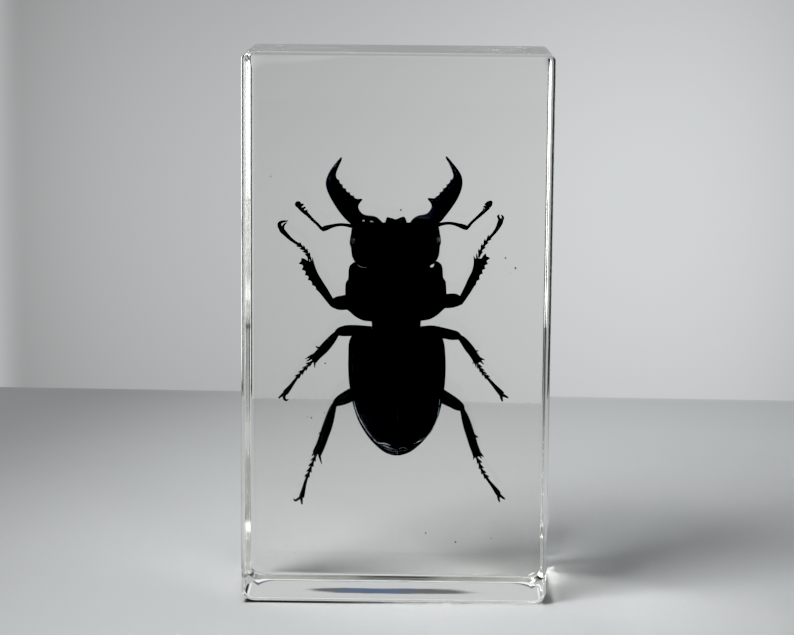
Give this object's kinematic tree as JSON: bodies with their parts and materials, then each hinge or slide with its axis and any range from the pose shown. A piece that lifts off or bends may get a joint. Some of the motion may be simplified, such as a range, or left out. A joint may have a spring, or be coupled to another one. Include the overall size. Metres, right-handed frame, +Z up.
{
  "type": "insect in resin block",
  "caption": "Clear rectangular resin block with rounded corners, standing on its small end, with a black stag beetle cast inside it.",
  "frame": {"origin": "centre of the bottom face that the block stands on", "axes": "+Z up along the block's height, -Y out of the front face that shows the insect's back, +X to the right seen from the front"},
  "size_m": [0.0406, 0.02, 0.073],
  "materials": {
    "clear_resin": "water-clear cast resin, polished"
  },
  "bodies": {
    "root": {"resin_block": "clear_resin"}
  },
  "joints": []
}
